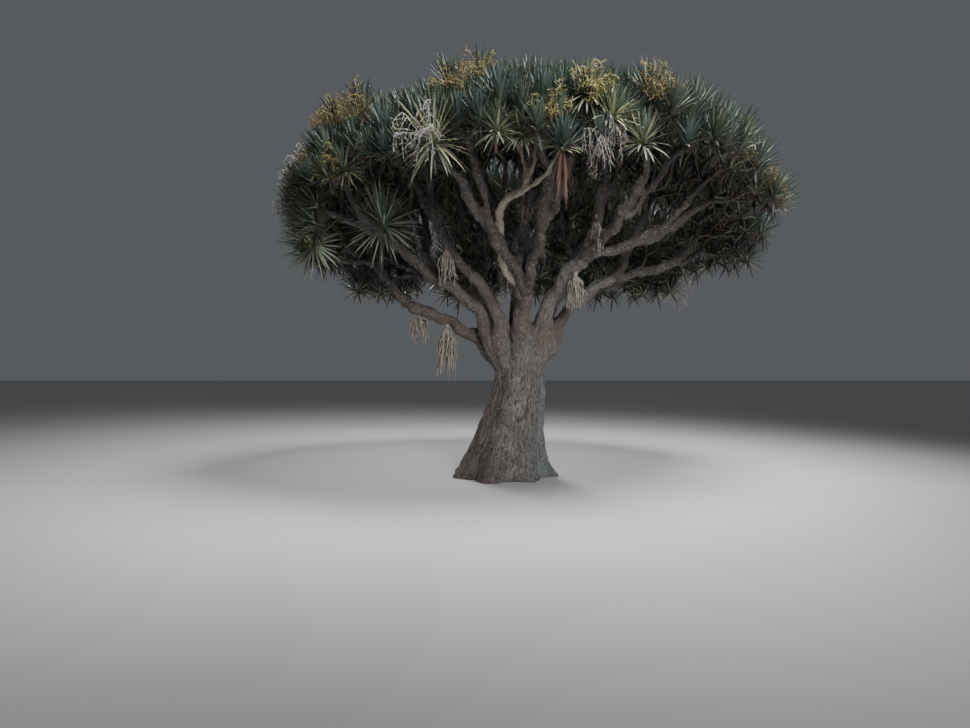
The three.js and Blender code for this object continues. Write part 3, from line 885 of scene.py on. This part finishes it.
def sighted(rosettes, across, down):
    """The rosette in front that is nearest to a place in the view, shifted to stand just there."""

    def miss(rosette):
        u, v, far = in_view(rosette["point"])
        return math.hypot(u - across, v - down) + NEARER_IS_WORTH * far

    found = min((r for r in rosettes if "kind" not in r), key=miss)
    u, v, far = in_view(found["point"])
    shift = np.array((across - u, 0.0, v - down)) * far / FOCAL_PIXELS
    found["point"] = found["point"] + shift * min(1.0, FARTHEST_SHIFT / np.linalg.norm(shift))
    return found


def end_twig(begin, leave, rosette, lines):
    """The last twig bends up into the axis of its rosette."""
    end = rosette["point"]
    reach = np.linalg.norm(end - begin)
    curve = bend(begin, begin + 0.35 * reach * leave, end - 0.45 * reach * rosette["axis"], end)
    lines.append(limb_line(curve, (1.1 * TIP_RADIUS, TIP_RADIUS), TWIG_STEP))


def twig_finish():
    """Grey-brown twigs, ringed across by the scars of fallen leaves."""
    material, nodes, shader = finish("ringed_twig", 0.85)
    place = nodes.told("bark", output=1)
    rings = nodes.noise(nodes.stretched(place, (0.25, 0.25, 1.0)), 55.0, 2.0)
    cloud = nodes.noise(nodes.here(), 5.0, 3.0)
    colour = nodes.mix(rings.between(0.35, 0.65), (0.06, 0.05, 0.042), (0.13, 0.115, 0.1))
    colour = nodes.mix(cloud.between(0.52, 0.72) * 0.5, colour, (0.25, 0.24, 0.22))
    nodes.drive(shader, "Base Color", colour)
    nodes.emboss(shader, 0.5, 0.006, rings)
    return material


rosettes = []
bunches = []
for mass, begin, leave, heart in twig_ends:
    bunches.append((begin, leave, open_heart(mass, heart, draw)))
    rosettes.extend(bunches[-1][2])
push_apart(rosettes)
for kind, places in SIGHTS:
    for across, down in places:
        sighted(rosettes, across, down)["kind"] = kind
twig_lines = []
for path, radius in old_limb_lines[1:]:
    # Each prong of the old limb carries the nearest rosette.
    end = min((r["point"] for r in rosettes), key=lambda point: np.linalg.norm(point - path[-1]))
    ahead = unit(path[-1] - path[-3])
    curve = bend(path[-1], path[-1] + 0.1 * ahead, end - 0.1 * UP, end)
    twig_lines.append(limb_line(curve, (1.1 * TIP_RADIUS, TIP_RADIUS), TWIG_STEP))
for begin, leave, bunch in bunches:
    last_twigs = []
    worth = ROSETTES_PER_HEART / ROSETTES_IN_HEART
    grow_twigs(begin, leave, bunch, worth, twig_lines, last_twigs)
    for twig in last_twigs:
        end_twig(*twig, twig_lines)
sizes = {"Sides": 6, "Material": twig_finish()}
twigs = grown("twigs", lines_mesh("twig_lines", twig_lines), BRANCH_RULE, sizes)
foliage_nodes = [f"foliage_{mass['name']}" for mass in masses]
piece("twigs", twigs, "foliage", *foliage_nodes)

# The leaves are stiff leathery swords, channelled along the middle, that clasp the end of their
# twig in a dense spiral. Young ones stand upright and grey-green; the oldest arch out and hang,
# turn yellow and dry to brown before they fall.
LEAVES = 56
LEAF_LENGTH = 0.44
LEAF_WIDTH = 0.026
LEAF_CHANNEL = 0.13
LOWEST_LEAF = -0.12  # how steeply a leaf of a plain rosette may hang
HANGING_BAND = (2.4, 3.5)  # from here on out rosettes are smaller and limper
# The tilt in degrees of the widest leaves of a rosette, and the size of its leaves.
WIDEST_TILT = {"star": 128, "yellow_star": 112, "yellow": 108, "tangle": 116, "faded": 96}
ROSETTE_SIZE = {"star": 1.35, "yellow_star": 1.2, "tangle": 1.12}
# Dead leaves under a rosette: how many, their length and width, and their least tilt.
DEAD_LEAVES = {"rusty": (36, 0.34, 0.018, 152), "other": (7, 0.2, 0.028, 118)}
LEAF_COLOURS = {
    "grey_green": (0.092, 0.118, 0.088),
    "blue_green": (0.07, 0.1, 0.088),
    "deep_green": (0.055, 0.075, 0.046),
    "pale_green": (0.2, 0.225, 0.16),
    "silver_green": (0.38, 0.44, 0.36),
    "yellow_green": (0.36, 0.36, 0.2),
    "straw": (0.36, 0.31, 0.19),
    "rust": (0.13, 0.072, 0.048),
    "husk": (0.036, 0.031, 0.027),
}


def sword_leaf():
    """One leaf of unit width and length, with its channel facing +Y."""
    rows = ((0.0, 0.7), (0.35, 1.0), (0.75, 0.7))
    points, along = [], []
    for place, width in rows:
        points.extend(((-width / 2, 0, place), (0, -LEAF_CHANNEL, place), (width / 2, 0, place)))
        along.extend((place,) * 3)
    points.append((0, 0, 1))
    along.append(1.0)
    faces = []
    for row in range(len(rows) - 1):
        a = 3 * row
        faces.extend(((a, a + 1, a + 4, a + 3), (a + 1, a + 2, a + 5, a + 4)))
    last, tip = 3 * (len(rows) - 1), len(points) - 1
    faces.extend(((last, last + 1, tip), (last + 1, last + 2, tip)))
    return bpy.data.objects.new("sword_leaf", mesh_of("sword_leaf", points, (), faces, along=along))


def leaf_rule():
    """Leaves stand on points, each turned, sized and bent down as its point says."""
    sizes = (("Leaf", "Object", None), ("Material", "Material", None))
    nodes, given = growth_rule("leaves", *sizes)
    leaf = nodes.add("GeometryNodeObjectInfo", None, {"Object": given["Leaf"]}, output=4)
    way, face, size = (nodes.read(name, "FLOAT_VECTOR") for name in ("way", "face", "size"))
    settings = {"primary_axis": "Z", "secondary_axis": "Y"}
    inputs = {"Primary Axis": way, "Secondary Axis": face}
    turn = nodes.add("FunctionNodeAxesToRotation", settings, inputs)
    inputs = {"Points": given["Geometry"], "Instance": leaf, "Rotation": turn, "Scale": size}
    leaves = nodes.add("GeometryNodeInstanceOnPoints", None, inputs)
    leaves = nodes.add("GeometryNodeRealizeInstances", None, {"Geometry": leaves})
    along, droop = nodes.read("along"), nodes.read("droop")
    drop = nodes.add("ShaderNodeCombineXYZ", None, {"Z": along * along * droop * -1.0})
    leaves = nodes.add("GeometryNodeSetPosition", None, {"Geometry": leaves, "Offset": drop})
    leaves = nodes.add("GeometryNodeSetShadeSmooth", None, {"Geometry": leaves})
    nodes.end(leaves, given["Material"])
    return nodes.tree


def room_in_mass(point, mass):
    """How far a point is inside the space of its mass of foliage."""
    room = math.inf
    for other in masses:
        if other is not mass:
            to_other = point - other["centre"]
            to_own = point - mass["centre"]
            apart = np.linalg.norm(mass["centre"] - other["centre"])
            room = min(room, (to_other @ to_other - to_own @ to_own) / (2 * apart))
    return room


def leaf_colour(age, greens, kind, draw):
    """Old leaves yellow and dry. A rosette that has flowered is paler; one that stands alone is
    palest, partly young leaf colour and partly painted light.
    """
    if kind in ("yellow", "faded"):
        return greens if age < 0.5 * draw() else ("pale_green" if draw() < 0.65 else "yellow_green")
    if kind == "tangle":
        return "pale_green" if draw() < 0.45 else "yellow_green"
    if kind == "ochre":
        return greens if age < 0.5 else ("straw" if draw() < 0.4 else "pale_green")
    if kind in ("star", "yellow_star"):
        # The lone stars get the palest green: their young leaf colour, lightened further as painted
        # light.
        if draw() < 0.8:
            return "silver_green"
        return "yellow_green" if kind == "yellow_star" else greens
    if age < 0.7:
        return greens
    if age < 0.88:
        return "pale_green" if draw() < 0.45 else greens
    return "yellow_green" if draw() < 0.22 else ("rust" if draw() < 0.3 else "deep_green")


def set_leaf(beds, name, rosette, tilt, side, age, length, width, droop):
    """Notes one leaf in the bed of its colour."""
    axis = rosette["axis"]
    if rosette.get("kind") is None and name != "husk":
        # A leaf of a plain rosette never hangs lower than this, so the edge of the crown is thin.
        while tilt > 0.2 and math.cos(tilt) * axis[2] + math.sin(tilt) * side[2] < LOWEST_LEAF:
            tilt -= 0.1
    way = math.cos(tilt) * axis + math.sin(tilt) * side
    face = math.cos(tilt) * side - math.sin(tilt) * axis
    root = rosette["point"] + 0.016 * side + (0.03 - 0.07 * age) * axis
    tip = root + length * way - droop * UP
    if "mass" in rosette and room_in_mass(tip, rosette["mass"]) < -0.2:
        return
    beds[name].append((root, way, -face, (width, width, length), droop))


def sprout(rosette, beds, draw):
    """Sets the leaves of one rosette in a spiral from its bud out to its oldest leaf."""
    axis = rosette["axis"]
    kind = rosette.get("kind", "plain")
    hang = smooth_step(rosette["from_top"], *HANGING_BAND)
    widest = WIDEST_TILT.get(kind, 54 + 20 * hang)
    size = ROSETTE_SIZE.get(kind, 1.0 - 0.28 * hang)
    share = draw()
    greens = "grey_green" if share < 0.36 else "blue_green" if share < 0.7 else "deep_green"
    count = round(LEAVES * (1.0 if kind == "plain" else 1.5))
    for k in range(count):
        age = (k + 0.5) / count
        side = side_of(axis, k * GOLDEN_TURN + 0.3 * draw())
        tilt = math.radians(5 + (widest - 5) * age**0.8 + 10 * (draw() - 0.5))
        length = LEAF_LENGTH * (0.74 + 0.3 * math.sin(math.pi * min(1.0, 0.25 + age * 0.75)))
        length = size * varied(length, 0.18, draw)
        limp = 0.55 if kind in ("yellow", "tangle", "faded") else 0.16 + 0.25 * hang
        droop = length * (0.03 + limp * age**2 * (0.6 + 0.8 * draw()))
        name = leaf_colour(age, greens, kind, draw)
        width = varied(LEAF_WIDTH, 0.25, draw)
        set_leaf(beds, name, rosette, tilt, side, age, length, width, droop)
    dead, longest, width, least = DEAD_LEAVES["rusty" if kind == "rusty" else "other"]
    for k in range(dead):
        side = side_of(axis, k * GOLDEN_TURN + draw())
        tilt = math.radians(least + 26 * draw())
        length = longest * (0.7 + 0.6 * draw())
        # Dead leaf bases are near black: their own dark colour, deepened as painted shade under the
        # crown.
        name = "rust" if kind == "rusty" or draw() < 0.15 else "husk"
        droop = 0.4 * length * draw()
        set_leaf(beds, name, rosette, tilt, side, 1.0, length, width, droop)


def leaf_finish(name, colour):
    """Leathery leaf, a little waxy, whose shade drifts slowly through the crown."""
    material, nodes, shader = finish(name, 0.5)
    here = nodes.here()
    drift = nodes.noise(here, 2.2, 2.0)
    dark = tuple(0.72 * part for part in colour)
    pale = tuple(min(1.0, 1.3 * part + 0.01) for part in colour)
    tint = nodes.mix(drift.between(0.3, 0.7), dark, pale)
    nodes.drive(shader, "Base Color", tint)
    grain = nodes.noise(here, 90.0, 2.0)
    nodes.drive(shader, "Roughness", grain * 0.2 + 0.42)
    return material


for (_, _, points), kind in zip(YOUNG_SHOOTS, ("star", "yellow_star")):
    foot, tip = np.array(points[-2:])
    axis = unit(unit(tip - foot) + np.array((0.0, -0.5, 0.3)))
    star = {"point": tip, "normal": axis, "axis": axis, "from_top": 0.0, "kind": kind}
    rosettes.append(star)
beds = {name: [] for name in LEAF_COLOURS}
for rosette in rosettes:
    sprout(rosette, beds, draw)
leaf = sword_leaf()
leaf_growth = leaf_rule()
for name, colour in LEAF_COLOURS.items():
    root, way, face, size, droop = (np.array(column) for column in zip(*beds[name]))
    points = mesh_of(name, root, way=way, face=face, size=size, droop=droop)
    sizes = {"Leaf": leaf, "Material": leaf_finish(f"{name}_leaf", colour)}
    leaves = grown(f"leaves_{name}", points, leaf_growth, sizes)
    piece(f"leaves_{name}", leaves, "foliage", *foliage_nodes)

# Beards of aerial roots hang from the undersides of boughs: a stout root that frays into many
# pale corky fingers, clustered like the bristles of a worn broom.
# Each beard: its branch, how far along it, its drop, its spread and its strands.
AERIAL_ROOTS = (
    ("bough_left_low", 0.93, 0.42, 0.26, 5),
    ("bough_left_low", 0.68, 0.78, 0.26, 7),
    ("limb_mid_05", 0.48, 0.5, 0.21, 6),
    ("limb_top_02", 0.45, 0.76, 0.19, 6),
    ("limb_mid_06", 0.87, 0.34, 0.13, 4),
    ("bough_right_front", 0.92, 0.48, 0.2, 6),
    ("limb_top_01", 0.72, 0.42, 0.13, 4),
    ("limb_mid_07", 0.66, 0.46, 0.14, 4),
)
ROOT_COLLAR = 0.034
FRAY_SHARE = 0.1
FINGERS = 6  # for each strand of the beard


def root_fingers(host, along, drop, spread, strands, draw):
    """The lines of one beard: a stem down from the bough, then fingers that fork twice."""
    top = host["curve"](along)
    knot = top - (host["ends"][0] + FRAY_SHARE * drop) * UP
    fall = drop * (1 - FRAY_SHARE)
    stem = bend(top, top, knot, knot - 0.05 * UP)
    lines = [limb_line(stem, (1.5 * ROOT_COLLAR, ROOT_COLLAR), 0.02)]
    for k in range(FINGERS * strands):
        aside = side_of(-UP, 2 * math.pi * (k + draw()) * 0.382)
        out = 0.5 * spread * (0.15 + 0.85 * draw())
        start = knot + 0.7 * ROOT_COLLAR * aside + 0.12 * fall * (draw() - 0.3) * UP
        tip = start + out * aside - fall * (0.35 + 0.65 * draw() ** 1.5) * UP
        hollow = start + 0.7 * out * aside - 0.1 * fall * UP
        curve = bend(start, hollow, tip + 0.4 * fall * UP, tip)
        thick = varied(0.013, 0.6, draw)
        lines.append(limb_line(curve, (1.4 * thick, 0.5 * thick), 0.04))
        for _ in range(2):
            begin = curve(0.35 + 0.5 * draw())
            turn = side_of(-UP, 2 * math.pi * draw())
            end = begin + 0.06 * turn - fall * (0.1 + 0.14 * draw()) * UP
            finer = bend(begin, begin + 0.05 * turn, end + 0.04 * UP, end)
            lines.append(limb_line(finer, (0.8 * thick, 0.35 * thick), 0.05))
    return lines


def root_finish():
    """Dry corky root, pale tan with grey along its length."""
    material, nodes, shader = finish("corky_root", 0.95)
    place = nodes.told("bark", output=1)
    streaks = nodes.noise(nodes.stretched(place, (1.0, 1.0, 0.1)), 120.0, 3.0)
    cloud = nodes.noise(nodes.here(), 7.0, 3.0)
    colour = nodes.mix(streaks.between(0.35, 0.65), (0.2, 0.17, 0.14), (0.44, 0.4, 0.35))
    colour = nodes.mix(cloud.between(0.45, 0.7) * 0.6, colour, (0.3, 0.28, 0.26))
    nodes.drive(shader, "Base Color", colour)
    return material


root_lines = []
for host, along, drop, spread, strands in AERIAL_ROOTS:
    root_lines.extend(root_fingers(branches[host], along, drop, spread, strands, draw))
sizes = {"Sides": 5, "Material": root_finish()}
beards = grown("aerial_roots", lines_mesh("root_lines", root_lines), BRANCH_RULE, sizes)
beard_nodes = [f"aerial_roots_{k + 1}" for k in range(len(AERIAL_ROOTS))]
piece("aerial_roots", beards, "aerial root", *beard_nodes)

# Flowering panicles stand in some rosettes: yellow stalks, branched three times and hung with
# small ochre fruit. Last year's are left on the tree as dry grey tangles.
FRUIT_RADIUS = 0.0075
PANICLE_LENGTH = 0.32
PANICLE_LEAN = 2.2  # how far a panicle leans out of the crown's edge
PANICLE_SPREAD = 0.8
STALKS = 4
SIDE_STALKS = 9
SPRIGS = 4
SPRIG_LENGTH = 0.06
STALK_RADIUS = 0.0055
YOUNG_STALK_RADIUS = 0.006


def panicle_lines(rosette, length, sag, thick, draw):
    """Stalks with side stalks and sprigs, and the points where fruit sits."""
    outward = rosette["normal"] * (1, 1, 0)
    axis = unit(rosette["axis"] + PANICLE_LEAN * outward)
    base = rosette["point"]
    lines, fruit = [], []
    for k in range(STALKS):
        side = side_of(axis, 2 * math.pi * (k + 0.5 * draw()) / STALKS)
        end = base + length * unit(axis + PANICLE_SPREAD * side)
        stalk = bend(base, base + 0.5 * length * axis, end - 0.2 * length * side, end)
        lines.append(limb_line(stalk, (1.6 * thick, 0.8 * thick), 0.1))
        for j in range(SIDE_STALKS):
            share = 0.3 + 0.7 * j / (SIDE_STALKS - 1)
            begin = stalk(share)
            turn = side_of(heading_at(stalk, share), 2.4 * j + draw())
            reach = length * (0.42 - 0.16 * share)
            tip = begin + reach * unit(turn + 0.3 * axis) - sag * reach * UP
            sprig = bend(begin, begin + 0.4 * reach * turn, tip + 0.3 * reach * UP, tip)
            lines.append(limb_line(sprig, (thick, 0.7 * thick), 0.07))
            for i in range(SPRIGS):
                place = sprig(0.35 + 0.6 * (i + draw()) / SPRIGS)
                away = unit(side_of(turn, 6.28 * draw()) - 0.6 * sag * UP)
                shoot = place + SPRIG_LENGTH * away
                sprout_ends = (0.7 * thick, 0.5 * thick)
                straight = bend(place, place, shoot, shoot)
                lines.append(limb_line(straight, sprout_ends, SPRIG_LENGTH))
                fruit.append(shoot)
    return lines, fruit


def fruit_rule():
    """Small round fruit sits on points."""
    sizes = (("Radius", "Float", FRUIT_RADIUS), ("Material", "Material", None))
    nodes, given = growth_rule("fruit", *sizes)
    inputs = {"Radius": given["Radius"], "Subdivisions": 1}
    ball = nodes.add("GeometryNodeMeshIcoSphere", None, inputs)
    inputs = {"Points": given["Geometry"], "Instance": ball}
    fruit = nodes.add("GeometryNodeInstanceOnPoints", None, inputs)
    nodes.end(fruit, given["Material"])
    return nodes.tree


def plain_finish(name, low, high, roughness, scale=30.0):
    """Two shades of one colour that drift over a piece."""
    material, nodes, shader = finish(name, roughness)
    cloud = nodes.noise(nodes.here(), scale, 3.0)
    tint = nodes.mix(cloud.between(0.35, 0.65), low, high)
    nodes.drive(shader, "Base Color", tint)
    return material


stalk_lines = {"yellow": [], "ochre": [], "tangle": [], "hanging": []}
fruit_points = []
for rosette in rosettes:
    kind = rosette.get("kind")
    if kind is None and rosette["point"][1] > -1.2:
        # The sides and the back of the crown flower as thinly as its front does.
        chance = draw()
        kind = "ochre" if chance < 0.022 else "yellow" if chance < 0.036 else None
        kind = "tangle" if 0.036 < chance < 0.05 else kind
    if kind in stalk_lines:
        sag = {"tangle": 1.1, "hanging": 2.4}.get(kind, 0.5)
        length = PANICLE_LENGTH * (1.3 if kind == "tangle" else 1.0)
        lines, fruit = panicle_lines(rosette, length, sag, STALK_RADIUS, draw)
        stalk_lines[kind].extend(lines)
        if kind in ("yellow", "ochre"):
            fruit_points.extend(fruit)
    if kind == "yellow_star":
        length = 0.4 * PANICLE_LENGTH
        lines, _ = panicle_lines(rosette, length, 0.3, YOUNG_STALK_RADIUS, draw)
        stalk_lines["yellow"].extend(lines)
STALK_COLOURS = {
    "yellow": ((0.24, 0.22, 0.07), (0.4, 0.37, 0.15)),
    "ochre": ((0.14, 0.11, 0.045), (0.26, 0.2, 0.08)),
    "tangle": ((0.24, 0.22, 0.21), (0.5, 0.48, 0.46)),
    "hanging": ((0.11, 0.1, 0.095), (0.3, 0.28, 0.27)),
}
for name, lines in stalk_lines.items():
    sizes = {"Sides": 3, "Material": plain_finish(f"{name}_stalk", *STALK_COLOURS[name], 0.75)}
    stalks = grown(f"{name}_stalks", lines_mesh(f"{name}_lines", lines), BRANCH_RULE, sizes)
    piece(f"{name}_stalks", stalks, "foliage", *foliage_nodes)
skin = plain_finish("ochre_fruit", (0.2, 0.13, 0.045), (0.28, 0.21, 0.075), 0.5)
fruit = grown("fruit", mesh_of("fruit_points", fruit_points), fruit_rule(), {"Material": skin})
piece("fruit", fruit, "foliage", *foliage_nodes)

# A plain pale floor, soft studio light from above and the front, and the camera at eye height.
FLOOR_REACH = 60
corners = [(x * FLOOR_REACH, y * FLOOR_REACH, 0) for x, y in ((-1, -1), (1, -1), (1, 1), (-1, 1))]
floor_mesh = mesh_of("floor", corners, (), [(0, 1, 2, 3)])
floor = bpy.data.objects.new("floor", floor_mesh)
bpy.context.scene.collection.objects.link(floor)
floor_finish, _, floor_shader = finish("pale_floor", 0.9)
floor_shader.inputs["Base Color"].default_value = (0.58, 0.575, 0.565, 1)
floor_mesh.materials.append(floor_finish)

world = bpy.data.worlds.new("studio")
bpy.context.scene.world = world
world.use_nodes = True
world.node_tree.nodes["Background"].inputs["Color"].default_value = (0.86, 0.9, 0.96, 1)
world.node_tree.nodes["Background"].inputs["Strength"].default_value = 0.12


def softbox(name, place, aim, size, power, spread):
    light = bpy.data.lights.new(name, "AREA")
    light.shape = "DISK"
    light.size = size
    light.energy = power
    light.spread = math.radians(spread)
    made = bpy.data.objects.new(name, light)
    bpy.context.scene.collection.objects.link(made)
    made.location = place
    away = unit(np.array(place) - np.array(aim))
    made.rotation_euler = (math.acos(away[2]), 0, math.atan2(away[1], away[0]) + math.pi / 2)


softbox("overhead", (3.4, -3.9, 12.0), (0.5, -0.3, 3.9), 7.0, 760, 76)
softbox("front", (3.5, -13.0, 6.0), (0.3, 0, 1.4), 4.5, 160, 60)
softbox("back", (-4.0, 13.0, 9.0), (0.3, 0, 2.6), 5.0, 300, 60)

camera = bpy.data.objects.new("camera", bpy.data.cameras.new("camera"))
bpy.context.scene.collection.objects.link(camera)
camera.location = CAMERA_PLACE
camera.rotation_euler = (math.radians(90), 0, 0)
camera.data.sensor_width = 36
camera.data.lens = 27.05
bpy.context.scene.camera = camera
